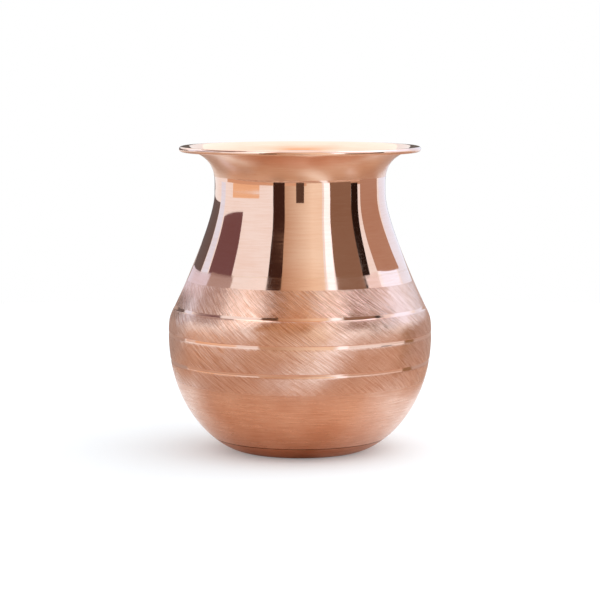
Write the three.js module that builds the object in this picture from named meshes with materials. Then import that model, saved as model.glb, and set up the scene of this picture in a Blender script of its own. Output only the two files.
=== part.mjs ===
// A spun copper lota: a round water pot with a full belly, a waisted neck and a wide flared mouth.
//
// Three spun shells make the pot. The belly shell is the middle one. The neck shell above it and the
// base dish below it each end in a tail that is stepped in by one sheet, so the tail slides inside the
// belly shell and the outside stays flush. A sleeve of brazing metal fills each lap. The edge of the
// mouth is rolled outwards and under, round a wire.
//
// Millimetres, +Z up. The origin is the centre of the base, on the surface that the pot stands on.

import * as THREE from "three";

// Sheet, wire and joints
const wall = 0.6; // copper sheet
const wireRadius = 0.4; // stiffening wire in the rolled edge
const wireClearance = 0.05; // between the wire and the sheet rolled round it
const lapLength = 4.8; // overlap of two shells, along the sheet
const lapGap = 0.2; // room for brazing metal between the lapped sheets
const brazeClearance = 0.04; // between brazing metal and each sheet
const stepLength = 0.5; // along the sheet, where a tail steps in

// Outside form, from the base up
const height = 120; // to the top of the rolled edge
const domeRise = 1.2; // the middle of the base is pushed up, so the pot stands on a ring
const footWidth = 4; // flat ring that the pot stands on
const footRadius = 24; // outer edge of that ring
const bellyHeight = 46; // base to the widest line of the belly
const bellyRadius = 52;
const shoulderRise = 21.2; // belly line to the straight part of the shoulder
const shoulderRadius = 44.8;
const shoulderLean = 23.2; // degrees from upright
const neckRadius = 33.65; // at its narrowest line
const mouthRise = 18.5; // that line to the top of the rolled edge
const rimRadius = 47.5;
const flareSlope = 14; // degrees above level where the mouth meets the rolled edge
const rollOpening = 95; // degrees of the roll left open under the flare, where the raw edge ends

// How far each curve of the outline holds its direction before it turns
const footPull = 7;
const bowlPull = 31.6;
const bellyPull = 9.4;
const shoulderPullDown = 16;
const shoulderPullUp = 12;
const neckPullDown = 7.2;
const neckPullUp = 6.5;
const flarePull = 14.8;

// Places along the sheet
const dishReach = 12.4; // foot ring's edge to the seam of the base dish
const collarReach = 27.8; // belly line to the top edge of the belly shell
const firstRingDrop = 11.5; // foot of the lapped band to the first bright ring
const ringPitch = 10.8;
const ringCount = 3;
const ringWidth = 1.4;
const ringDepth = 0.12;
const ringEdge = 0.25; // sloping side of a ring's groove

// Facets
const facets = 44; // round the pot
const sheetStep = 4.5; // along the sheet
const flareStep = 2.5;
const rollStep = 30; // degrees
const wireSides = 8;

// Outline of the pot's outside, from the middle of the base up to the start of the rolled edge

const quarterTurn = 90; // degrees
const fullTurn = 360;
const up = new THREE.Vector2(0, 1);

// Unit vector at an angle in degrees above level
function direction(degrees) {
  const angle = THREE.MathUtils.degToRad(degrees);
  return new THREE.Vector2(Math.cos(angle), Math.sin(angle));
}

const rollInner = wireRadius + wireClearance;
const rollOuter = rollInner + wall;

const bellyLine = new THREE.Vector2(bellyRadius, bellyHeight);
const shoulderLine = new THREE.Vector2(shoulderRadius, bellyHeight + shoulderRise);
const neckLine = new THREE.Vector2(neckRadius, height - mouthRise);
const rollCentre = new THREE.Vector2(rimRadius - rollOuter, height - rollOuter);
const rollStart = quarterTurn + flareSlope;
const flareEnd = rollCentre.clone().addScaledVector(direction(rollStart), rollInner);

const skin = new THREE.Path();
const curveTo = (pullOut, pullIn, end) => skin.bezierCurveTo(...pullOut, ...pullIn, ...end);
const footInner = footRadius - footWidth;
const shoulderWay = direction(quarterTurn + shoulderLean);

skin.moveTo(0, domeRise);
skin.bezierCurveTo(footInner / 2, domeRise, footInner / 2, 0, footInner, 0);
skin.lineTo(footRadius, 0);
skin.bezierCurveTo(footRadius + footPull, 0, bellyRadius, bellyHeight - bowlPull, ...bellyLine);
curveTo(
  bellyLine.clone().addScaledVector(up, bellyPull),
  shoulderLine.clone().addScaledVector(shoulderWay, -shoulderPullDown),
  shoulderLine,
);
curveTo(
  shoulderLine.clone().addScaledVector(shoulderWay, shoulderPullUp),
  neckLine.clone().addScaledVector(up, -neckPullDown),
  neckLine,
);
curveTo(
  neckLine.clone().addScaledVector(up, neckPullUp),
  flareEnd.clone().addScaledVector(direction(flareSlope), -flarePull),
  flareEnd,
);

// Lengths along the outline, from the middle of the base
const [domeEnd, footEnd, bellyAt, , neckAt, skinEnd] = skin.getCurveLengths();
const dishSeam = footEnd + dishReach;
const collarTop = bellyAt + collarReach;
const bandFoot = collarTop - lapLength;

// The point at a length along the outline, moved in from the outside by a depth
function onSkin(length, depth = 0) {
  const share = length / skinEnd;
  const along = skin.getTangent(share);
  return skin.getPoint(share).add(new THREE.Vector2(-along.y, along.x).multiplyScalar(depth));
}

// Lengths from one to another in equal steps no longer than the one given
function lengths(from, to, step) {
  const count = Math.max(1, Math.ceil((to - from) / step));
  return Array.from({ length: count + 1 }, (_, i) => from + ((to - from) * i) / count);
}

// The two laps. Every piece of a lap has its points at these lengths, so the pieces stay apart evenly.
const dishLap = lengths(dishSeam, dishSeam + lapLength, sheetStep);
const neckLap = lengths(bandFoot, collarTop, sheetStep);
const tailDepth = wall + lapGap;

// A closed outline: one face of the sheet, and that face moved in by the sheet's thickness, square to it
function sheet(face) {
  const normals = face.slice(1).map((p, i) => {
    const along = p.clone().sub(face[i]).normalize();
    return new THREE.Vector2(-along.y, along.x);
  });
  const back = face.map((p, i) => {
    const before = normals[Math.max(i - 1, 0)];
    const after = normals[Math.min(i, normals.length - 1)];
    const mitre = before.clone().add(after).divideScalar(1 + before.dot(after));
    return p.clone().addScaledVector(mitre, wall);
  });
  return [...face, ...back.reverse()];
}

// A solid of revolution about Z from a closed outline of radius and height
function revolve(name, outline, material, closed = true) {
  const profile = closed ? [...outline, outline[0]] : outline;
  const geometry = new THREE.LatheGeometry(profile, facets).rotateX(Math.PI / 2);
  const mesh = new THREE.Mesh(geometry, material);
  mesh.name = name;
  return mesh;
}

const copper = (color, roughness) => new THREE.MeshStandardMaterial({ color, roughness, metalness: 1 });

// Base dish: domed middle, foot ring, turned-up side, and a tail inside the belly shell
function baseDish() {
  const face = [
    ...lengths(0, domeEnd, footInner / 4).map((s) => onSkin(s)),
    ...lengths(footEnd, dishSeam - stepLength, sheetStep).map((s) => onSkin(s)),
    ...dishLap.map((s) => onSkin(s, tailDepth)),
  ];
  const outline = sheet(face);
  // both ends stay on the axis
  outline[0].x = 0;
  outline[outline.length - 1].x = 0;
  return revolve("base_dish", outline, copper(0xb4714f, 0.45), false);
}

// Belly shell: open at both ends, with bright rings cut in its outside
function bellyShell() {
  const rings = Array.from({ length: ringCount }, (_, i) => bandFoot - firstRingDrop - i * ringPitch).reverse();
  const outside = [];
  let reached = dishSeam;
  for (const ring of rings) {
    const half = ringWidth / 2;
    outside.push(...lengths(reached, ring - half, sheetStep).map((s) => onSkin(s)));
    outside.push(onSkin(ring - half + ringEdge, ringDepth), onSkin(ring + half - ringEdge, ringDepth));
    reached = ring + half;
  }
  outside.push(...lengths(reached, collarTop, sheetStep).map((s) => onSkin(s)));
  const between = lengths(dishSeam + lapLength, bandFoot, sheetStep).slice(1, -1);
  const inside = [...dishLap, ...between, ...neckLap].map((s) => onSkin(s, wall));
  return revolve("belly_shell", [...outside, ...inside.reverse()], copper(0xc98a66, 0.35));
}

// Neck shell: a tail inside the belly shell, the waisted neck, the flared mouth and its rolled edge
function neckShell() {
  const roll = lengths(0, fullTurn - rollOpening, rollStep).slice(1);
  const face = [
    ...neckLap.map((s) => onSkin(s, tailDepth)),
    ...lengths(collarTop + stepLength, neckAt, sheetStep).map((s) => onSkin(s)),
    ...lengths(neckAt, skinEnd, flareStep).slice(1).map((s) => onSkin(s)),
    ...roll.map((turn) => rollCentre.clone().addScaledVector(direction(rollStart - turn), rollInner)),
  ];
  return revolve("neck_shell", sheet(face), copper(0xe0a482, 0.08));
}

// Brazing metal in a lap: a thin sleeve, with a fillet that fills the groove over the tail's step.
// Toward is +1 where the step lies further along the outline than the lap, and -1 where it lies before it.
function brazeSleeve(name, lap, seam, toward) {
  const outer = wall + brazeClearance;
  const inner = tailDepth - brazeClearance;
  const fromEnd = toward > 0 ? lap : lap.toReversed();
  const outside = fromEnd.map((s) => onSkin(s, outer));
  const inside = fromEnd.map((s) => onSkin(s, inner));
  const fillet = [
    onSkin(seam + toward * brazeClearance, outer),
    onSkin(seam + toward * brazeClearance, 0),
    onSkin(seam + toward * (stepLength - 2 * brazeClearance), 0),
  ];
  const outline = [...outside, ...fillet, ...inside.reverse()];
  return revolve(name, toward > 0 ? outline : outline.reverse(), copper(0xc08a5a, 0.3));
}

// Wire that the edge of the mouth is rolled round
function rimWire() {
  const outline = lengths(0, fullTurn, fullTurn / wireSides)
    .slice(1)
    .map((turn) => rollCentre.clone().addScaledVector(direction(turn), wireRadius));
  return revolve("rim_wire", outline, copper(0xc98a66, 0.4));
}

const lota = new THREE.Group();
lota.add(
  baseDish(),
  brazeSleeve("base_braze", dishLap, dishSeam, -1),
  bellyShell(),
  brazeSleeve("shoulder_braze", neckLap, collarTop, 1),
  neckShell(),
  rimWire(),
);

export default lota;
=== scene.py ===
from bisect import bisect
from math import ceil, cos, pi, radians, sin, tan

import bmesh
import bpy
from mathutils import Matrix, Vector
from mathutils.geometry import interpolate_bezier


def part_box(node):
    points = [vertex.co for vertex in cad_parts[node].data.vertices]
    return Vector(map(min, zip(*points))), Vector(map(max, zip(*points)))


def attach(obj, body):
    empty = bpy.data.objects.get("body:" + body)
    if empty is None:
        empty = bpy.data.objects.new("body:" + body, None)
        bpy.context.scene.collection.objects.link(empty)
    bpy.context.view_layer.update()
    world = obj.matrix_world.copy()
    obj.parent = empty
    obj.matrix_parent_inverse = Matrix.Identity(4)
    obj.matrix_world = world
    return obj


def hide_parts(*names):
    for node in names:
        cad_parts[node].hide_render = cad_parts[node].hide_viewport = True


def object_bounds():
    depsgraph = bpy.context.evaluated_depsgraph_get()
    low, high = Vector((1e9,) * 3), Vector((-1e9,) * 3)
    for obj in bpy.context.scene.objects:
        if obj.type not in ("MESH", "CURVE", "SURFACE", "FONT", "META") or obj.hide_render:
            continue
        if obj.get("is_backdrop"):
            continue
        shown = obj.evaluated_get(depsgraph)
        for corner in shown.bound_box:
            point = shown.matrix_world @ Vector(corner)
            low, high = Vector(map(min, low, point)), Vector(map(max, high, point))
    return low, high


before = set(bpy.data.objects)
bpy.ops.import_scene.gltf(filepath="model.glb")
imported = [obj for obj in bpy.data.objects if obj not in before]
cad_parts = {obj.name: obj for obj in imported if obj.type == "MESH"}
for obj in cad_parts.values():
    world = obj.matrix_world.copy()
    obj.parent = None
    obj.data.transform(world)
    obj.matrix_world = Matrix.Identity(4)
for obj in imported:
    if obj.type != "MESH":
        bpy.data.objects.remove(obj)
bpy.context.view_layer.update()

# Base dish
# A shallow saucer spun from copper sheet, which closes the bottom of the pot. It stands on a flat ring
# round a middle that is pushed up, and its side ends in a tail, stepped in, that slides inside the belly.

MM = 0.001
WALL = 0.6 * MM
LAP_LENGTH = 4.8 * MM
LAP_GAP = 0.2 * MM
TAIL_DEPTH = WALL + LAP_GAP
STEP_LENGTH = 0.5 * MM

DOME_RISE = 1.2 * MM
FOOT_WIDTH = 4.0 * MM
FOOT_RADIUS = 24.0 * MM
FOOT_INNER = FOOT_RADIUS - FOOT_WIDTH
DISH_REACH = 12.4 * MM  # from the foot ring's edge to the seam, along the sheet

# The side of the dish is the start of one curve, which runs on to the widest line of the belly
HAIR = 0.01 * MM  # keeps the pot inside the box of its solids
BELLY_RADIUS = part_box("belly_shell")[1].x - HAIR
BELLY_HEIGHT = 46.0 * MM
FOOT_PULL = 7.0 * MM
BOWL_PULL = 31.6 * MM

CURVE_POINTS = 120
ROUND_STEPS = 256
DOME_SPACING = 2 * MM
SHEET_SPACING = 1 * MM
MERGE_DISTANCE = 0.001 * MM
SHARP_ANGLE = radians(38)


def at(radius, height):
    """A point of the pot's outline, in the half plane that is spun round Z."""
    return Vector((radius, 0, height))


UP = at(0, 1)
OUT = at(1, 0)

# The outside of the pot as one run of points, and the length of sheet from the middle of the base to each
skin = [at(0, DOME_RISE)]
reach = [0.0]


def carry_on(points):
    """Carries the outline on through points, and gives the length of sheet up to the last of them."""
    for point in points:
        reach.append(reach[-1] + (point - skin[-1]).length)
        skin.append(point)
    return reach[-1]


def curve_to(pull_out, pull_in, end):
    """Carries the outline on in one curve. The pulls say how far it holds its direction at each end."""
    start = skin[-1]
    points = interpolate_bezier(start, start + pull_out, end - pull_in, end, CURVE_POINTS)
    return carry_on(points[1:])


dome_pull = OUT * FOOT_INNER / 2
dome_end = curve_to(dome_pull, dome_pull, at(FOOT_INNER, 0))
foot_end = carry_on([at(FOOT_RADIUS, 0)])
belly_at = curve_to(OUT * FOOT_PULL, UP * BOWL_PULL, at(BELLY_RADIUS, BELLY_HEIGHT))


def on_skin(length, depth=0.0):
    """The point at a length along the sheet, moved in from the outside by a depth."""
    i = min(max(bisect(reach, length), 1), len(skin) - 1)
    along = skin[i] - skin[i - 1]
    point = skin[i - 1] + along * ((length - reach[i - 1]) / along.length)
    return point + at(-along.z, along.x).normalized() * depth


def lengths(start, end, step):
    """Lengths from start to end in equal steps no longer than the one given."""
    count = max(1, ceil((end - start) / step))
    return [start + (end - start) * i / count for i in range(count + 1)]


def sheet(face):
    """A closed outline: one face of the sheet, and that face moved in by the wall, square to it."""
    sides = [b - a for a, b in zip(face, face[1:])]
    inward = [at(-side.z, side.x).normalized() for side in sides]
    before = inward[:1] + inward
    after = inward + inward[-1:]
    back = [p + (m + n) / (1 + m.dot(n)) * WALL for p, m, n in zip(face, before, after)]
    return face + back[::-1]


def revolve(name, outline, materials, zone=None):
    """A piece spun from a closed outline. Zone gives each face its place in the list of materials."""
    bm = bmesh.new()
    verts = [bm.verts.new(point) for point in outline]
    edges = [bm.edges.new(pair) for pair in zip(verts, verts[1:] + verts[:1])]
    bmesh.ops.spin(bm, geom=verts + edges, axis=UP, angle=2 * pi, steps=ROUND_STEPS, use_merge=True)
    bmesh.ops.remove_doubles(bm, verts=bm.verts, dist=MERGE_DISTANCE)
    bmesh.ops.recalc_face_normals(bm, faces=bm.faces)
    for face in bm.faces:
        face.smooth = True
        face.material_index = zone(face) if zone else 0
    mesh = bpy.data.meshes.new(name)
    bm.to_mesh(mesh)
    bm.free()
    for material in materials:
        mesh.materials.append(material)
    mesh.set_sharp_from_angle(angle=SHARP_ANGLE)
    piece = bpy.data.objects.new(name, mesh)
    bpy.context.scene.collection.objects.link(piece)
    return piece


def linear(hex_colour):
    """An sRGB hex colour as linear RGBA."""
    parts = [int(hex_colour[i : i + 2], 16) / 255 for i in (1, 3, 5)]
    return [c / 12.92 if c <= 0.04045 else ((c + 0.055) / 1.055) ** 2.4 for c in parts] + [1.0]


def add(tree, kind, inputs=(), **settings):
    """Adds a node, with its settings, and each input either linked or set."""
    node = tree.nodes.new(kind)
    for key, value in settings.items():
        setattr(node, key, value)
    for key, value in dict(inputs).items():
        if isinstance(value, bpy.types.NodeSocket):
            tree.links.new(value, node.inputs[key])
        else:
            node.inputs[key].default_value = value
    return node


# The places of a Mix node's colour sockets
MIX_A = 6
MIX_B = 7
MIX_RESULT = 2

# Clean copper is a pale pink metal. It looks deeper where the tool left it duller.
COPPER = "#F4D6C9"
COPPER_WARM = "#EBC0AA"
STREAK_LENGTH = 11 * MM
CLOUD_SIZE = 15 * MM
SWELL_SIZE = 22 * MM
QUARTER_TURN = 0.25
# Noise seldom passes these values
NOISE_LOW = 0.3
NOISE_HIGH = 0.7
# Streaks and clouds together: where the copper starts to look dull, and where it is dullest
STAIN_START = 0.8
STAIN_FULL = 1.25


def bare_metal(name):
    """A material of bare metal, its tree and its shader."""
    material = bpy.data.materials.new(name)
    material.use_nodes = True
    tree = material.node_tree
    shader = tree.nodes["Principled BSDF"]
    shader.inputs["Metallic"].default_value = 1.0
    return material, tree, shader


def grain(tree, shader, place, climb):
    """Gives the shader the way of the grain: level round the pot, or climbing to the right."""
    around = add(tree, "ShaderNodeVectorMath", {0: (0, 0, 1), 1: place}, operation="CROSS_PRODUCT")
    around = add(tree, "ShaderNodeVectorMath", {0: around.outputs[0]}, operation="NORMALIZE")
    slant = add(tree, "ShaderNodeVectorMath", {0: around.outputs[0], 1: (0, 0, climb)})
    tree.links.new(slant.outputs[0], shader.inputs["Tangent"])


def turned_copper(name, bright, dull, gloss, streak, depth, sway):
    """Copper turned on a lathe: streaks run round it, and the sheet sways a little under them.

    Streak is the width of a streak and depth is how deep it is cut. A real tool's lines are finer, and
    these are drawn as coarse as they need to be to show. Gloss is the roughness of bright and dull ones.
    """
    material, tree, shader = bare_metal(name)
    place = add(tree, "ShaderNodeTexCoord").outputs["Object"]
    # the streaks run round, so they spread what the metal mirrors up and down
    grain(tree, shader, place, 0.0)
    shader.inputs["Anisotropic"].default_value = 0.7
    shader.inputs["Anisotropic Rotation"].default_value = QUARTER_TURN
    flat = add(tree, "ShaderNodeVectorMath", {0: place, 1: (1, 1, 0)}, operation="MULTIPLY")
    radius = add(tree, "ShaderNodeVectorMath", {0: flat.outputs[0]}, operation="LENGTH")
    axes = add(tree, "ShaderNodeSeparateXYZ", {0: place})
    # height plus radius grows along the sheet all over the pot, also where the sheet lies level
    across = add(tree, "ShaderNodeMath", {0: axes.outputs["Z"], 1: radius.outputs["Value"]})
    squeeze = add(
        tree,
        "ShaderNodeMath",
        {0: across.outputs[0], 1: STREAK_LENGTH / streak},
        operation="MULTIPLY",
    )
    lines_at = add(
        tree,
        "ShaderNodeCombineXYZ",
        {"X": axes.outputs["X"], "Y": axes.outputs["Y"], "Z": squeeze.outputs[0]},
    )
    lines = add(
        tree,
        "ShaderNodeTexNoise",
        {"Vector": lines_at.outputs[0], "Scale": 1 / STREAK_LENGTH, "Detail": 3.0, "Roughness": 0.65},
    )
    cloud = add(tree, "ShaderNodeTexNoise", {"Vector": place, "Scale": 1 / CLOUD_SIZE, "Detail": 3.0})
    stain = add(tree, "ShaderNodeMath", {0: lines.outputs["Fac"], 1: cloud.outputs["Fac"]})
    shade = add(
        tree,
        "ShaderNodeMapRange",
        {"Value": stain.outputs[0], "From Min": STAIN_START, "From Max": STAIN_FULL},
    )
    colour = add(
        tree,
        "ShaderNodeMix",
        {"Factor": shade.outputs[0], MIX_A: linear(bright), MIX_B: linear(dull)},
        data_type="RGBA",
    )
    rough = add(
        tree,
        "ShaderNodeMapRange",
        {
            "Value": lines.outputs["Fac"],
            "From Min": NOISE_LOW,
            "From Max": NOISE_HIGH,
            "To Min": gloss[0],
            "To Max": gloss[1],
        },
    )
    swell = add(tree, "ShaderNodeTexNoise", {"Vector": place, "Scale": 1 / SWELL_SIZE, "Detail": 1.0})
    wavy = add(tree, "ShaderNodeBump", {"Height": swell.outputs["Fac"], "Distance": sway})
    bump = add(
        tree,
        "ShaderNodeBump",
        {"Height": lines.outputs["Fac"], "Distance": depth, "Normal": wavy.outputs[0]},
    )
    tree.links.new(colour.outputs[MIX_RESULT], shader.inputs["Base Color"])
    tree.links.new(rough.outputs[0], shader.inputs["Roughness"])
    tree.links.new(bump.outputs[0], shader.inputs["Normal"])
    return material


# The foot is duller copper, painted browner and darker as shade close to the floor
shaded_foot_copper = turned_copper(
    "foot_copper_painted_shade",
    bright="#DDAE97",
    dull="#BC8367",
    gloss=(0.28, 0.42),
    streak=0.6 * MM,
    depth=0.008 * MM,
    sway=0.1 * MM,
)
# The inside keeps the spinning tool's rings, and is brighter than the outside
inner_copper = turned_copper(
    "lathe_turned_copper",
    bright=COPPER,
    dull=COPPER_WARM,
    gloss=(0.2, 0.3),
    streak=0.7 * MM,
    depth=0.01 * MM,
    sway=0.1 * MM,
)

dish_seam = foot_end + DISH_REACH
dish_face = [on_skin(s) for s in lengths(0, dome_end, DOME_SPACING)]
dish_face += [on_skin(s) for s in lengths(foot_end, dish_seam - STEP_LENGTH, SHEET_SPACING)]
dish_tail = lengths(dish_seam, dish_seam + LAP_LENGTH, SHEET_SPACING)
dish_face += [on_skin(s, TAIL_DEPTH) for s in dish_tail]
dish_outline = sheet(dish_face)
# the inside ends on the axis too
dish_outline[-1].x = 0.0


def dish_zone(face):
    """0 outside, 1 inside."""
    return int(face.normal.z > 0)


base_dish = revolve("base_dish_spun", dish_outline, [shaded_foot_copper, inner_copper], dish_zone)
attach(base_dish, "root")
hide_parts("base_dish")

# Braze of the base
# A thin sleeve of brazing metal, drawn into the lap between the dish's tail and the belly shell. Its
# fillet shows outside as a dark hairline round the foot.

BRAZE_CLEARANCE = 0.04 * MM
FILLET_CLEARANCE = 0.01 * MM


def braze_sleeve(name, seam, toward, material):
    """Brazing metal in a lap. Toward is 1 where the tail's step lies beyond the seam, or -1 before it."""
    outer = WALL + BRAZE_CLEARANCE
    inner = TAIL_DEPTH - BRAZE_CLEARANCE
    lap = [seam - toward * s for s in lengths(0, LAP_LENGTH, SHEET_SPACING)][::-1]
    fillet = [
        on_skin(seam + toward * BRAZE_CLEARANCE, outer),
        on_skin(seam + toward * FILLET_CLEARANCE),
        on_skin(seam + toward * (STEP_LENGTH - FILLET_CLEARANCE)),
    ]
    outline = [on_skin(s, outer) for s in lap] + fillet + [on_skin(s, inner) for s in lap[::-1]]
    return revolve(name, outline, [material])


# Brazing metal that was left as it cooled: dull and oxidised
dark_braze = turned_copper(
    "oxidised_braze",
    bright="#8A5C45",
    dull="#5F3A27",
    gloss=(0.4, 0.55),
    streak=0.5 * MM,
    depth=0.005 * MM,
    sway=0.05 * MM,
)
base_braze = braze_sleeve("base_braze_sleeve", dish_seam, -1, dark_braze)
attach(base_braze, "root")
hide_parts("base_braze")

# Belly shell
# The spun middle shell, open at both ends. Its outside is satin, hatched by hand with a fine scraper down
# to a line below the belly. Three bright rings are cut in the hatching, and its collar is turned bright.

SHOULDER_RISE = 21.2 * MM  # from the widest line of the belly
SHOULDER_RADIUS = 44.8 * MM
SHOULDER_LEAN = radians(23.2)
BELLY_PULL = 9.4 * MM
SHOULDER_PULL_DOWN = 16 * MM
COLLAR_REACH = 27.8 * MM  # from the widest line to the top edge, along the sheet
BELLY_SPACING = 0.8 * MM

# The collar is the start of one curve, which runs on to the narrowest line of the neck
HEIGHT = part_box("neck_shell")[1].z
MOUTH_RISE = 18.5 * MM  # from that line to the top of the rolled edge
NECK_RADIUS = 33.65 * MM
SHOULDER_PULL_UP = 12 * MM
NECK_PULL_DOWN = 7.2 * MM


def way(angle):
    """A unit step in the plane of the outline, at an angle above level."""
    return at(cos(angle), sin(angle))


shoulder_line = at(SHOULDER_RADIUS, BELLY_HEIGHT + SHOULDER_RISE)
shoulder_way = way(pi / 2 + SHOULDER_LEAN)
neck_line = at(NECK_RADIUS, HEIGHT - MOUTH_RISE)
curve_to(UP * BELLY_PULL, shoulder_way * SHOULDER_PULL_DOWN, shoulder_line)
curve_to(shoulder_way * SHOULDER_PULL_UP, UP * NECK_PULL_DOWN, neck_line)
collar_top = belly_at + COLLAR_REACH
band_foot = collar_top - LAP_LENGTH

# The rings, from the highest down. The burnisher leans, so the floor of a lower ring faces up more.
FIRST_RING_DROP = 11.5 * MM  # from the foot of the collar
RING_PITCH = 10.8 * MM
RING_WIDTH = 1.4 * MM
RING_DEPTH = 0.07 * MM
RING_EDGE = 0.2 * MM
RING_TILTS = (radians(-3), radians(6), radians(10))
RING_SPACING = 0.25 * MM
rings = [band_foot - FIRST_RING_DROP - i * RING_PITCH for i in range(len(RING_TILTS))]

# The noise that draws the strokes changes at this pitch, which leaves them about half a millimetre apart.
# A fine scraper's strokes lie closer, and these are drawn as coarse as they need to be to show.
HATCH_PITCH = 0.25 * MM
HATCH_ANGLE = radians(36)
HATCH_FOOT = 28.7 * MM  # height of the line where the hatching ends
STROKE_LENGTH = 4 * MM
STROKE_DEPTH = 0.085 * MM
# Strokes that cross the others are fainter, and in patches all of them keep only a share of their depth
CROSS_SHARE = 0.3
FAINT_SHARE = 0.4
PATCH_SIZE = 13 * MM
CROSS_PATCH_SIZE = 9 * MM
PATCH_FAINT = 0.38
PATCH_FULL = 0.62
NOISE_MIDDLE = 0.5
# The floor of a stroke is painted darker, as shade in the cut, and is rougher than the burr beside it
STROKE_FLOOR = -0.16
STROKE_BURR = 0.12
STROKE_SHADE_COPPER = "#D6A892"
FLOOR_ROUGH = 0.26
BURR_ROUGH = 0.2


def hatched_copper(name):
    """Copper scraped in fine slanting strokes, which catch the light and soften what they mirror."""
    material, tree, shader = bare_metal(name)
    place = add(tree, "ShaderNodeTexCoord").outputs["Object"]
    grain(tree, shader, place, 1.0)
    shader.inputs["Anisotropic"].default_value = 0.4
    axes = add(tree, "ShaderNodeSeparateXYZ", {0: place})
    turn = add(tree, "ShaderNodeMath", {0: axes.outputs["Y"], 1: axes.outputs["X"]}, operation="ARCTAN2")
    twist = 1 / (BELLY_RADIUS * tan(HATCH_ANGLE))
    cuts = []
    # most strokes slant one way, and a few faint ones cross them
    for side, share, patch_size in ((1, 1.0, PATCH_SIZE), (-1, CROSS_SHARE, CROSS_PATCH_SIZE)):
        # turning the pattern with height makes upright strokes slant, and it still joins up at the back
        slant = add(
            tree,
            "ShaderNodeMath",
            {0: axes.outputs["Z"], 1: side * twist, 2: turn.outputs[0]},
            operation="MULTIPLY_ADD",
        )
        right = add(tree, "ShaderNodeMath", {0: slant.outputs[0]}, operation="COSINE")
        ahead = add(tree, "ShaderNodeMath", {0: slant.outputs[0]}, operation="SINE")
        up = add(
            tree,
            "ShaderNodeMath",
            {0: axes.outputs["Z"], 1: HATCH_PITCH / STROKE_LENGTH / BELLY_RADIUS},
            operation="MULTIPLY",
        )
        stroke_at = add(
            tree,
            "ShaderNodeCombineXYZ",
            {"X": right.outputs[0], "Y": ahead.outputs[0], "Z": up.outputs[0]},
        )
        strokes = add(
            tree,
            "ShaderNodeTexNoise",
            {"Vector": stroke_at.outputs[0], "Scale": BELLY_RADIUS / HATCH_PITCH, "Detail": 0.0},
        )
        patch = add(tree, "ShaderNodeTexNoise", {"Vector": place, "Scale": 1 / patch_size, "Detail": 2.0})
        strength = add(
            tree,
            "ShaderNodeMapRange",
            {
                "Value": patch.outputs["Fac"],
                "From Min": PATCH_FAINT,
                "From Max": PATCH_FULL,
                "To Min": FAINT_SHARE * share,
                "To Max": share,
            },
        )
        level = add(
            tree,
            "ShaderNodeMath",
            {0: strokes.outputs["Fac"], 1: NOISE_MIDDLE},
            operation="SUBTRACT",
        )
        cut = add(
            tree,
            "ShaderNodeMath",
            {0: level.outputs[0], 1: strength.outputs[0]},
            operation="MULTIPLY",
        )
        cuts.append(cut.outputs[0])
    height = add(tree, "ShaderNodeMath", {0: cuts[0], 1: cuts[1]})
    shade = add(
        tree,
        "ShaderNodeMapRange",
        {"Value": height.outputs[0], "From Min": STROKE_FLOOR, "From Max": STROKE_BURR},
    )
    # the floors of the strokes are painted darker, as shade in the cuts
    colour = add(
        tree,
        "ShaderNodeMix",
        {"Factor": shade.outputs[0], MIX_A: linear(STROKE_SHADE_COPPER), MIX_B: linear(COPPER)},
        data_type="RGBA",
    )
    rough = add(
        tree,
        "ShaderNodeMapRange",
        {"Value": shade.outputs[0], "To Min": FLOOR_ROUGH, "To Max": BURR_ROUGH},
    )
    bump = add(tree, "ShaderNodeBump", {"Height": height.outputs[0], "Distance": STROKE_DEPTH})
    tree.links.new(colour.outputs[MIX_RESULT], shader.inputs["Base Color"])
    tree.links.new(rough.outputs[0], shader.inputs["Roughness"])
    tree.links.new(bump.outputs[0], shader.inputs["Normal"])
    return material


hatched = hatched_copper("hand_hatched_copper")
# The collar is turned with a fine cut: nearly a mirror, a little soft across the streaks
bright_turned = turned_copper(
    "bright_turned_copper",
    bright=COPPER,
    dull="#EFCCBC",
    gloss=(0.08, 0.14),
    streak=0.6 * MM,
    depth=0.005 * MM,
    sway=0.08 * MM,
)
# The rings are burnished with a steel: a narrow mirror
ring_bright = turned_copper(
    "burnished_copper",
    bright=COPPER,
    dull="#EFCBBB",
    gloss=(0.1, 0.15),
    streak=0.5 * MM,
    depth=0.001 * MM,
    sway=0.05 * MM,
)
# Turned copper that was never buffed: soft reflections, broken by streaks round the pot
satin_copper = turned_copper(
    "satin_turned_copper",
    bright="#F0CDBC",
    dull="#DDAF98",
    gloss=(0.24, 0.36),
    streak=0.6 * MM,
    depth=0.008 * MM,
    sway=0.1 * MM,
)

belly_face = []
ring_heights = []
reached = dish_seam
for ring, tilt in reversed(list(zip(rings, RING_TILTS))):
    low, high = ring - RING_WIDTH / 2, ring + RING_WIDTH / 2
    belly_face += [on_skin(s) for s in lengths(reached, low, BELLY_SPACING)]
    for s in lengths(low + RING_EDGE, high - RING_EDGE, RING_SPACING):
        belly_face.append(on_skin(s, RING_DEPTH + (s - low) * tan(tilt)))
    ring_heights.append((on_skin(low).z, on_skin(high).z))
    reached = high
belly_face += [on_skin(s) for s in lengths(reached, collar_top, BELLY_SPACING)]
belly_back = [on_skin(s, WALL) for s in lengths(dish_seam, collar_top, SHEET_SPACING)]
band_height = on_skin(band_foot).z


def belly_zone(face):
    """0 hatched, 1 collar, 2 ring, 3 smooth lower belly, 4 inside."""
    middle = face.calc_center_median()
    if face.normal.x * middle.x + face.normal.y * middle.y < 0:
        return 4
    if middle.z > band_height:
        return 1
    if middle.z < HATCH_FOOT:
        return 3
    return 2 if any(low < middle.z < high for low, high in ring_heights) else 0


belly_shell = revolve(
    "belly_shell_spun",
    belly_face + belly_back[::-1],
    [hatched, bright_turned, ring_bright, satin_copper, inner_copper],
    belly_zone,
)
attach(belly_shell, "root")
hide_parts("belly_shell")

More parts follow.
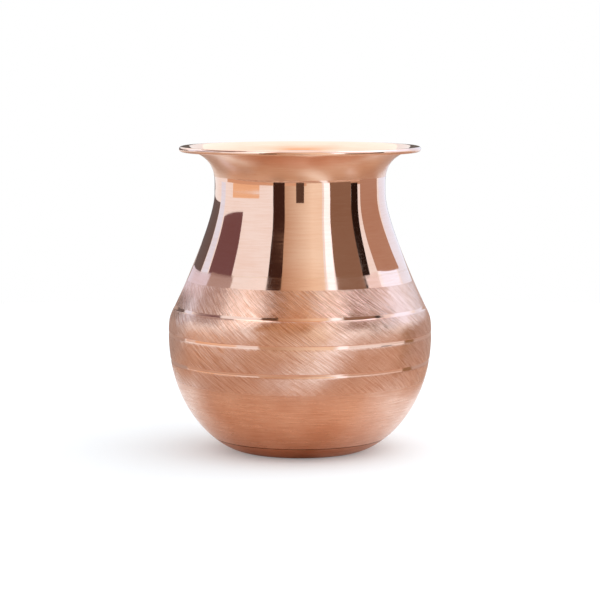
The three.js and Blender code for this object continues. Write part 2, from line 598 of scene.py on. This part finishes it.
# Braze of the shoulder
# The same thin sleeve of brazing metal in the lap between the neck's tail and the belly's collar. It is
# turned and buffed with the neck, so that hardly a line is left.

# Buffed brazing metal: nearly the copper's own colour, a trace yellower
buffed_braze = turned_copper(
    "buffed_copper_phosphorus_braze",
    bright="#F4D6C6",
    dull="#EDC9B6",
    gloss=(0.06, 0.12),
    streak=0.5 * MM,
    depth=0.002 * MM,
    sway=0.05 * MM,
)
shoulder_braze = braze_sleeve("shoulder_braze_sleeve", collar_top, 1, buffed_braze)
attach(shoulder_braze, "root")
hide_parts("shoulder_braze")

# Neck shell
# The spun upper shell: a tail inside the belly's collar, the waisted neck and the flared mouth. Its edge
# is rolled outwards and under, round a wire. It is polished on a buff until it mirrors the room.

RIM_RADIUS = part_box("neck_shell")[1].x
NECK_PULL_UP = 6.5 * MM
FLARE_PULL = 14.8 * MM
FLARE_SLOPE = radians(14)
FLARE_FOOT = 108.6 * MM  # height where the underside of the flare begins
FACING_DOWN = -0.02  # a face whose normal points lower than this is part of that underside
WIRE_RADIUS = 0.4 * MM
WIRE_CLEARANCE = 0.05 * MM
ROLL_INNER = WIRE_RADIUS + WIRE_CLEARANCE
ROLL_OUTER = ROLL_INNER + WALL
ROLL_START = pi / 2 + FLARE_SLOPE
ROLL_OPENING = radians(95)
ROLL_SPACING = radians(12)
NECK_SPACING = 0.7 * MM

roll_centre = at(RIM_RADIUS - ROLL_OUTER, HEIGHT - ROLL_OUTER - HAIR)
flare_end = roll_centre + way(ROLL_START) * ROLL_INNER
skin_end = curve_to(UP * NECK_PULL_UP, way(FLARE_SLOPE) * FLARE_PULL, flare_end)

# Copper polished on a cloth buff: a mirror, with the faintest sway of the hand-spun sheet
polished = turned_copper(
    "buffed_copper",
    bright=COPPER,
    dull="#EFCBBB",
    gloss=(0.03, 0.07),
    streak=0.5 * MM,
    depth=0.0015 * MM,
    sway=0.12 * MM,
)
# The buff doesn't reach under the flare, which keeps the satin of spinning
flare_copper = turned_copper(
    "satin_spun_copper",
    bright="#F6D3BC",
    dull="#EFC4A8",
    gloss=(0.3, 0.36),
    streak=0.7 * MM,
    depth=0.003 * MM,
    sway=0.1 * MM,
)

neck_face = [on_skin(s, TAIL_DEPTH) for s in lengths(band_foot, collar_top, SHEET_SPACING)]
neck_face += [on_skin(s) for s in lengths(collar_top + STEP_LENGTH, skin_end, NECK_SPACING)]
for turn in lengths(0, 2 * pi - ROLL_OPENING, ROLL_SPACING)[1:]:
    neck_face.append(roll_centre + way(ROLL_START - turn) * ROLL_INNER)


def neck_zone(face):
    """0 polished, 1 satin under the flare."""
    return int(face.calc_center_median().z > FLARE_FOOT and face.normal.z < FACING_DOWN)


neck_shell = revolve("neck_shell_spun", sheet(neck_face), [polished, flare_copper], neck_zone)
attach(neck_shell, "root")
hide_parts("neck_shell")

# Rim wire
# A ring of drawn copper wire inside the rolled edge, which stiffens the mouth. It shows only from below,
# in the gap that the roll leaves.

WIRE_SIDES = 24
# Drawn wire: fine lines along it, duller than the sheet
wire_copper = turned_copper(
    "drawn_copper_wire",
    bright=COPPER_WARM,
    dull="#D9A488",
    gloss=(0.2, 0.35),
    streak=0.3 * MM,
    depth=0.004 * MM,
    sway=0.02 * MM,
)
wire_turns = [2 * pi * i / WIRE_SIDES for i in range(WIRE_SIDES)]
wire_outline = [roll_centre + way(turn) * WIRE_RADIUS for turn in wire_turns]
rim_wire = revolve("rim_wire_drawn", wire_outline, [wire_copper])
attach(rim_wire, "root")
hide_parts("rim_wire")

# Floor
# White paper that the pot stands on, with the pot's shadow. The camera sees nothing else, but in front of
# the pot the copper mirrors a pale tan table, with a strip of paper across it.

FLOOR_RADIUS = 0.53
FLOOR_SIDES = 128
PAPER = "#E4E9ED"
PAPER_LIFT = 0.2  # light that the paper adds, so that it is white outside the shadow

bm = bmesh.new()
bmesh.ops.create_circle(bm, cap_ends=True, segments=FLOOR_SIDES, radius=FLOOR_RADIUS)
floor_mesh = bpy.data.meshes.new("floor")
bm.to_mesh(floor_mesh)
bm.free()
floor = bpy.data.objects.new("floor", floor_mesh)
bpy.context.scene.collection.objects.link(floor)
floor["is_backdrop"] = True

paper = bpy.data.materials.new("white_paper")
paper.use_nodes = True
tree = paper.node_tree
tree.nodes.remove(tree.nodes["Principled BSDF"])
rays = add(tree, "ShaderNodeLightPath")
place = add(tree, "ShaderNodeTexCoord").outputs["Object"]
axes = add(tree, "ShaderNodeSeparateXYZ", {0: place})

# The paper under the pot runs to the back. On the right its front edge slants towards the camera.
PAPER_MIDDLE = -0.01
PAPER_SIDE = 0.09
SIDE_BLUR = 0.01
PAPER_FRONT = -0.005
FRONT_BLUR = 0.025
FRONT_SLANT = 0.5
off_middle = add(tree, "ShaderNodeMath", {0: axes.outputs["X"], 1: PAPER_MIDDLE}, operation="SUBTRACT")
off_middle = add(tree, "ShaderNodeMath", {0: off_middle.outputs[0]}, operation="ABSOLUTE")
middle = add(
    tree,
    "ShaderNodeMapRange",
    {
        "Value": off_middle.outputs[0],
        "From Min": PAPER_SIDE + SIDE_BLUR,
        "From Max": PAPER_SIDE - SIDE_BLUR,
    },
)
rightward = add(tree, "ShaderNodeMath", {0: axes.outputs["X"], 1: 0.0}, operation="MAXIMUM")
slant = add(
    tree,
    "ShaderNodeMath",
    {0: rightward.outputs[0], 1: FRONT_SLANT, 2: axes.outputs["Y"]},
    operation="MULTIPLY_ADD",
)
behind = add(
    tree,
    "ShaderNodeMapRange",
    {
        "Value": slant.outputs[0],
        "From Min": PAPER_FRONT - FRONT_BLUR,
        "From Max": PAPER_FRONT + FRONT_BLUR,
    },
)
under = add(tree, "ShaderNodeMath", {0: behind.outputs[0], 1: middle.outputs[0]}, operation="MULTIPLY")

# The strip of paper starts in front of the pot and runs towards the camera's right
STRIP_PLACE = Vector((0.02, -0.134, 0))
STRIP_ACROSS = Vector((0.75, 0.66, 0))
STRIP_SIDE = 0.0325
STRIP_BLUR = 0.0125
STRIP_START = -0.1
START_BLUR = 0.02
off_strip = add(tree, "ShaderNodeVectorMath", {0: place, 1: STRIP_ACROSS}, operation="DOT_PRODUCT")
off_strip = add(
    tree,
    "ShaderNodeMath",
    {0: off_strip.outputs["Value"], 1: STRIP_PLACE.dot(STRIP_ACROSS)},
    operation="SUBTRACT",
)
off_strip = add(tree, "ShaderNodeMath", {0: off_strip.outputs[0]}, operation="ABSOLUTE")
on_strip = add(
    tree,
    "ShaderNodeMapRange",
    {
        "Value": off_strip.outputs[0],
        "From Min": STRIP_SIDE + STRIP_BLUR,
        "From Max": STRIP_SIDE - STRIP_BLUR,
    },
)
past_start = add(
    tree,
    "ShaderNodeMapRange",
    {
        "Value": axes.outputs["Y"],
        "From Min": STRIP_START + START_BLUR,
        "From Max": STRIP_START - START_BLUR,
    },
)
strip = add(
    tree,
    "ShaderNodeMath",
    {0: on_strip.outputs[0], 1: past_start.outputs[0]},
    operation="MULTIPLY",
)
white = add(tree, "ShaderNodeMath", {0: under.outputs[0], 1: strip.outputs[0]}, operation="MAXIMUM")
bare = add(tree, "ShaderNodeMath", {0: 1.0, 1: white.outputs[0]}, operation="SUBTRACT")
table = add(
    tree,
    "ShaderNodeMath",
    {0: bare.outputs[0], 1: rays.outputs["Is Glossy Ray"]},
    operation="MULTIPLY",
)

# The table is a patchy tan wood. Next to the pot it is painted paler and warmer,
# as light that the copper throws on it
WOOD_DARK = "#B58F78"
WOOD_PALE = "#CDB29E"
WOOD_BOUNCE_LIGHT = "#E0BBA0"
WOOD_PATCH = 60 * MM
BOUNCE_REACH = 0.08
BOUNCE_BLUR = 0.015
patch = add(tree, "ShaderNodeTexNoise", {"Vector": place, "Scale": 1 / WOOD_PATCH, "Detail": 1.0})
patch = add(
    tree,
    "ShaderNodeMapRange",
    {"Value": patch.outputs["Fac"], "From Min": NOISE_LOW, "From Max": NOISE_HIGH},
)
wood = add(
    tree,
    "ShaderNodeMix",
    {"Factor": patch.outputs[0], MIX_A: linear(WOOD_DARK), MIX_B: linear(WOOD_PALE)},
    data_type="RGBA",
)
# Painted light: within a reach of the pot the wood turns paler and warmer
from_pot = add(tree, "ShaderNodeVectorMath", {0: place}, operation="LENGTH")
far = add(
    tree,
    "ShaderNodeMapRange",
    {
        "Value": from_pot.outputs["Value"],
        "From Min": BOUNCE_REACH - BOUNCE_BLUR,
        "From Max": BOUNCE_REACH + BOUNCE_BLUR,
    },
)
wood_with_bounce_light = add(
    tree,
    "ShaderNodeMix",
    {"Factor": far.outputs[0], MIX_A: linear(WOOD_BOUNCE_LIGHT), MIX_B: wood.outputs[MIX_RESULT]},
    data_type="RGBA",
)
ground = add(
    tree,
    "ShaderNodeMix",
    {"Factor": table.outputs[0], MIX_A: linear(PAPER), MIX_B: wood_with_bounce_light.outputs[MIX_RESULT]},
    data_type="RGBA",
)

# Only what is seen, in the picture or mirrored, adds light, and the table adds none
seen = add(tree, "ShaderNodeMath", {0: rays.outputs["Is Camera Ray"], 1: rays.outputs["Is Glossy Ray"]})
seen = add(tree, "ShaderNodeMath", {0: seen.outputs[0], 1: rays.outputs["Is Transmission Ray"]})
seen = add(tree, "ShaderNodeMath", {0: seen.outputs[0], 1: table.outputs[0]}, operation="SUBTRACT")
lift = add(tree, "ShaderNodeMath", {0: seen.outputs[0], 1: PAPER_LIFT}, operation="MULTIPLY")
matt = add(tree, "ShaderNodeBsdfDiffuse", {"Color": ground.outputs[MIX_RESULT]})
glow = add(tree, "ShaderNodeEmission", {"Color": linear("#FFFFFF"), "Strength": lift.outputs[0]})
lit = add(tree, "ShaderNodeAddShader", {0: matt.outputs[0], 1: glow.outputs[0]})
# The paper is clear from below, so that the base of the pot shows there
clear = add(tree, "ShaderNodeBsdfTransparent")
from_below = add(tree, "ShaderNodeNewGeometry").outputs["Backfacing"]
paper_side = add(tree, "ShaderNodeMixShader", {0: from_below, 1: lit.outputs[0], 2: clear.outputs[0]})
tree.links.new(paper_side.outputs[0], tree.nodes["Material Output"].inputs["Surface"])
floor_mesh.materials.append(paper)

# Studio
# A white room with one soft lamp on the right. Cards of plain colours stand round the pot, and the copper
# mirrors them as strips. The cards glow with their own even light, some brighter than white, and only
# mirrored rays see them.

world = bpy.data.worlds.new("white_room")
bpy.context.scene.world = world
world.use_nodes = True
world.node_tree.nodes["Background"].inputs["Color"].default_value = linear("#FFFFFF")

CARD_STEPS = 12


def card(name, colour, ends, distance, heights, strength=1.0, climb=0.0):
    """A glowing card of one colour, bent round the pot. Its ends are degrees round from the camera.

    The heights are those of its foot and head at the left end, and the right end is higher by the climb.
    """
    left, right = ends
    foot, head = heights
    bm = bmesh.new()
    side = Vector((sin(radians(left)), -cos(radians(left)), 0)) * distance
    verts = [bm.verts.new(side + UP * foot), bm.verts.new(side + UP * head)]
    edge = bm.edges.new(verts)
    bmesh.ops.spin(
        bm,
        geom=verts + [edge],
        axis=UP,
        angle=radians(right - left),
        steps=CARD_STEPS,
        dvec=UP * climb / CARD_STEPS,
    )
    mesh = bpy.data.meshes.new(name)
    bm.to_mesh(mesh)
    bm.free()
    board = bpy.data.objects.new(name, mesh)
    board.visible_camera = False
    board.visible_diffuse = False
    board.visible_shadow = False
    bpy.context.scene.collection.objects.link(board)
    board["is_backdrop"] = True
    material = bpy.data.materials.new(name)
    material.use_nodes = True
    tree = material.node_tree
    tree.nodes.remove(tree.nodes["Principled BSDF"])
    plain = add(tree, "ShaderNodeEmission", {"Color": linear(colour), "Strength": strength})
    tree.links.new(plain.outputs[0], tree.nodes["Material Output"].inputs["Surface"])
    mesh.materials.append(material)
    return tree, plain


# Distances from the middle of the pot. A card beside it is mirrored only by what is at its own height.
BESIDE = 0.068
HAND = 0.12
CLOSE = 0.2
MIDWAY = 0.3
TABLE_END = 0.53
NEAR = 0.55
PAST_NEAR = 0.56
BACK = 0.9
FRONT = 1.0

# Left side
card("card_left_edge", "#B8A398", (-165, -106), CLOSE, (0.0, 0.072))
card("card_left_dark", "#6E6260", (-172, -129), NEAR, (0.05, 0.15), climb=0.075)
card("card_left_back", "#6E6660", (-176, -168), NEAR, (0.0, 0.30))
card("card_left_cool", "#DDEBFF", (-128, -116), NEAR, (0.05, 0.34), strength=1.2)
card("card_maroon", "#795759", (-111, -77), MIDWAY, (0.150, 0.225), climb=0.020)
# Low strips round the collar
card("card_collar_left", "#B8A29C", (-80, -54), BESIDE, (0.068, 0.0852), climb=0.0033)
card("card_collar_edge", "#E6E2F2", (-125, -80), BESIDE, (0.064, 0.0742), climb=0.0105)
card("card_low_front", "#C49A76", (-26, 6), BESIDE, (0.058, 0.0715))
card("card_collar_right", "#F2E9EC", (53, 66), BESIDE, (0.070, 0.0893), strength=1.1, climb=-0.001)
# Front of the neck, from left to right
card("card_apricot", "#F7CDA6", (-99, -54), NEAR, (0.0, 0.088))
card("card_black", "#3F271F", (-31, -17.4), HAND, (0.087, 0.14))
card("card_bright", "#F2F6FF", (31, 40), NEAR, (0.0, 0.60), strength=1.65)
card("card_brown", "#8F705C", (34.6, 62.5), HAND, (0.088, 0.14))
card("card_umber", "#2A1B14", (66.5, 77), CLOSE, (0.078, 0.172))
# Right side
card("card_low_right", "#9A7A5C", (91, 104), CLOSE, (0.0, 0.077))
card("card_right_low", "#C4ADA2", (104, 165), CLOSE, (0.0, 0.072))
card("card_tan", "#BB947E", (67.5, 100), BESIDE, (0.0885, 0.118), climb=-0.007)
card("card_right_cool", "#DCE9FF", (97, 150), PAST_NEAR, (0.20, 1.2), strength=1.6)
card("card_right_white", "#E4EEFF", (128, 167), NEAR, (0.0, 0.36), strength=1.2)
card("card_right_edge", "#6E6660", (167, 176), NEAR, (0.0, 0.30))
# Ends of the table
card("card_table_left", "#DDB293", (-112, 8), TABLE_END, (0.0, 0.045))
card("card_table_right", "#C59E83", (42, 118), TABLE_END, (0.0, 0.045))
# High up, for the shoulder and the belly
card("card_over_left", "#A08A84", (-150, -75), NEAR, (0.50, 1.2))
card("card_over_middle", "#FFF6F2", (-75, -36), NEAR, (0.50, 1.6), strength=1.8)
card("card_over_right", "#F4EEFF", (76, 150), NEAR, (0.52, 1.7), strength=2.6)
# High up at the back, for the mouth
card("card_behind_left", "#EAF2FF", (210, 265), BACK, (0.42, 2.5), strength=1.5)
card("card_behind_right", "#EAF2FF", (95, 150), BACK, (0.42, 2.5), strength=1.5)
# A small one in the middle of the neck's front
card("card_small", "#5A4438", (-4.5, 4.5), HAND, (0.087, 0.112))

# The card behind the camera runs from ochre on its left to near white, and is deeper towards its head
OCHRE_END = -0.34
PALE_END = 0.28
DEEP_START = 0.8
DEEP_FULL = 1.0
tree, plain = card("card_front", "#FFFFFF", (-35, 29), FRONT, (-0.12, 2.2))
axes = add(tree, "ShaderNodeSeparateXYZ", {0: add(tree, "ShaderNodeTexCoord").outputs["Object"]})
across = add(
    tree,
    "ShaderNodeMapRange",
    {"Value": axes.outputs["X"], "From Min": OCHRE_END, "From Max": PALE_END},
)
tone = add(
    tree,
    "ShaderNodeMix",
    {"Factor": across.outputs[0], MIX_A: linear("#C9A88C"), MIX_B: linear("#FFEFD8")},
    data_type="RGBA",
)
rise = add(
    tree,
    "ShaderNodeMapRange",
    {"Value": axes.outputs["Z"], "From Min": DEEP_START, "From Max": DEEP_FULL},
)
deep = add(
    tree,
    "ShaderNodeMix",
    {"Factor": rise.outputs[0], MIX_A: linear("#FFFFFF"), MIX_B: linear("#EDC6A6")},
    data_type="RGBA",
)
both = add(
    tree,
    "ShaderNodeMix",
    {"Factor": 1.0, MIX_A: tone.outputs[MIX_RESULT], MIX_B: deep.outputs[MIX_RESULT]},
    data_type="RGBA",
    blend_type="MULTIPLY",
)
tree.links.new(both.outputs[MIX_RESULT], plain.inputs["Color"])

# The card at the back is peach high up in its middle, and the mouth mirrors that
PEACH_CORE = 0.1
PEACH_SIDE = 0.42
PEACH_START = 0.9
PEACH_FULL = 2.0
tree, plain = card("card_behind", "#FFFFFF", (150, 210), BACK, (0.42, 2.5), strength=1.35)
axes = add(tree, "ShaderNodeSeparateXYZ", {0: add(tree, "ShaderNodeTexCoord").outputs["Object"]})
off_middle = add(tree, "ShaderNodeMath", {0: axes.outputs["X"]}, operation="ABSOLUTE")
middle = add(
    tree,
    "ShaderNodeMapRange",
    {"Value": off_middle.outputs[0], "From Min": PEACH_SIDE, "From Max": PEACH_CORE},
)
rise = add(
    tree,
    "ShaderNodeMapRange",
    {"Value": axes.outputs["Z"], "From Min": PEACH_START, "From Max": PEACH_FULL},
)
peach = add(tree, "ShaderNodeMath", {0: middle.outputs[0], 1: rise.outputs[0]}, operation="MULTIPLY")
tone = add(
    tree,
    "ShaderNodeMix",
    {"Factor": peach.outputs[0], MIX_A: linear("#FFF9F2"), MIX_B: linear("#EFC29E")},
    data_type="RGBA",
)
tree.links.new(tone.outputs[MIX_RESULT], plain.inputs["Color"])


def aim(thing, target):
    """Points a lamp or a camera at a target."""
    thing.rotation_mode = "QUATERNION"
    thing.rotation_quaternion = (target - thing.location).to_track_quat("-Z", "Y")


# The lamp is large, so its shadow is soft. It only lights the paper, and the copper doesn't mirror it.
LAMP_SIZE = 1.6
LAMP_POWER = 5.5
LAMP_PLACE = Vector((0.7, 0.0, 0.8))
lamp_data = bpy.data.lights.new("soft_lamp", "AREA")
lamp_data.size = LAMP_SIZE
lamp_data.energy = LAMP_POWER
lamp = bpy.data.objects.new("soft_lamp", lamp_data)
lamp.location = LAMP_PLACE
lamp.visible_glossy = False
aim(lamp, Vector((0, 0, 0)))
bpy.context.scene.collection.objects.link(lamp)

# Camera
# It stands a little above the pot's mouth and looks at the middle of the pot, from far enough back that
# the pot is drawn with little perspective.

CAMERA_BACK = 0.860
CAMERA_HEIGHT = 0.1565
AIM_HEIGHT = 0.05905
SENSOR_WIDTH = 36.0
LENS = 131.07
camera_data = bpy.data.cameras.new("camera")
camera_data.sensor_width = SENSOR_WIDTH
camera_data.lens = LENS
camera = bpy.data.objects.new("camera", camera_data)
camera.location = (0, -CAMERA_BACK, CAMERA_HEIGHT)
aim(camera, Vector((0, 0, AIM_HEIGHT)))
bpy.context.scene.collection.objects.link(camera)
bpy.context.scene.camera = camera
bpy.context.scene.view_settings.view_transform = "Standard"

low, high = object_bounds()
